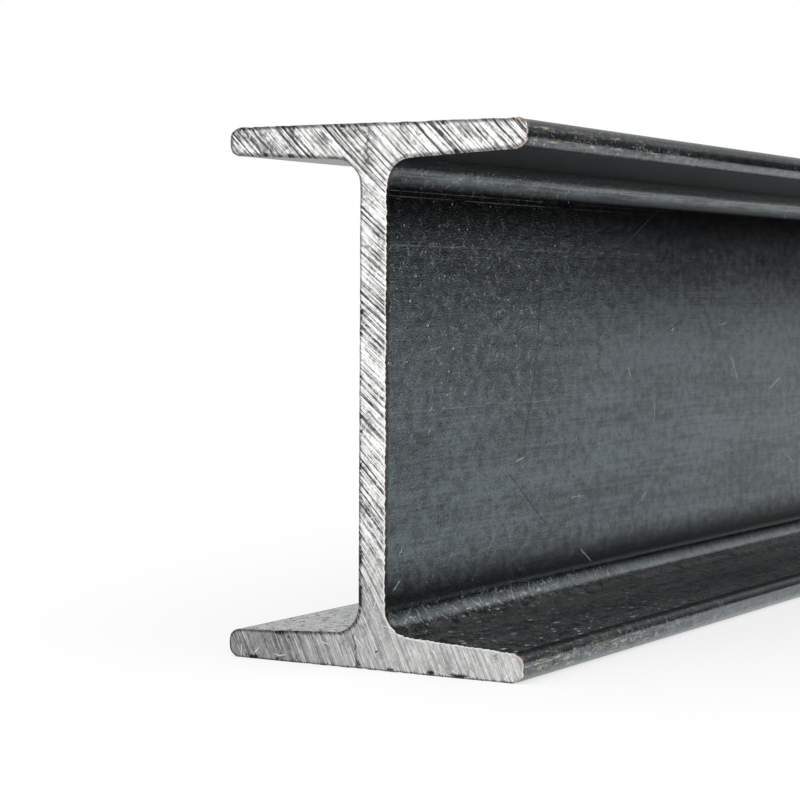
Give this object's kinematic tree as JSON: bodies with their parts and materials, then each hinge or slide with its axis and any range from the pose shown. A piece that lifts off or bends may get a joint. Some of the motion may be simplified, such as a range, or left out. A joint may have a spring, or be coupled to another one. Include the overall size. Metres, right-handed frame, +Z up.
{
  "type": "i-beam",
  "caption": "Straight length of hot-rolled steel I-beam with tapered flanges, rounded toes and a filleted web, sawn square at its ends, for carrying loads in bending.",
  "frame": {"origin": "middle of the underside of the bottom flange, halfway along the beam", "axes": "+X along the beam, +Y across the flanges, +Z up from the underside to the top"},
  "size_m": [0.6096, 0.0636, 0.1016],
  "materials": {
    "hot_rolled_steel": "satin"
  },
  "bodies": {
    "root": {"i_beam": "hot_rolled_steel"}
  },
  "joints": []
}
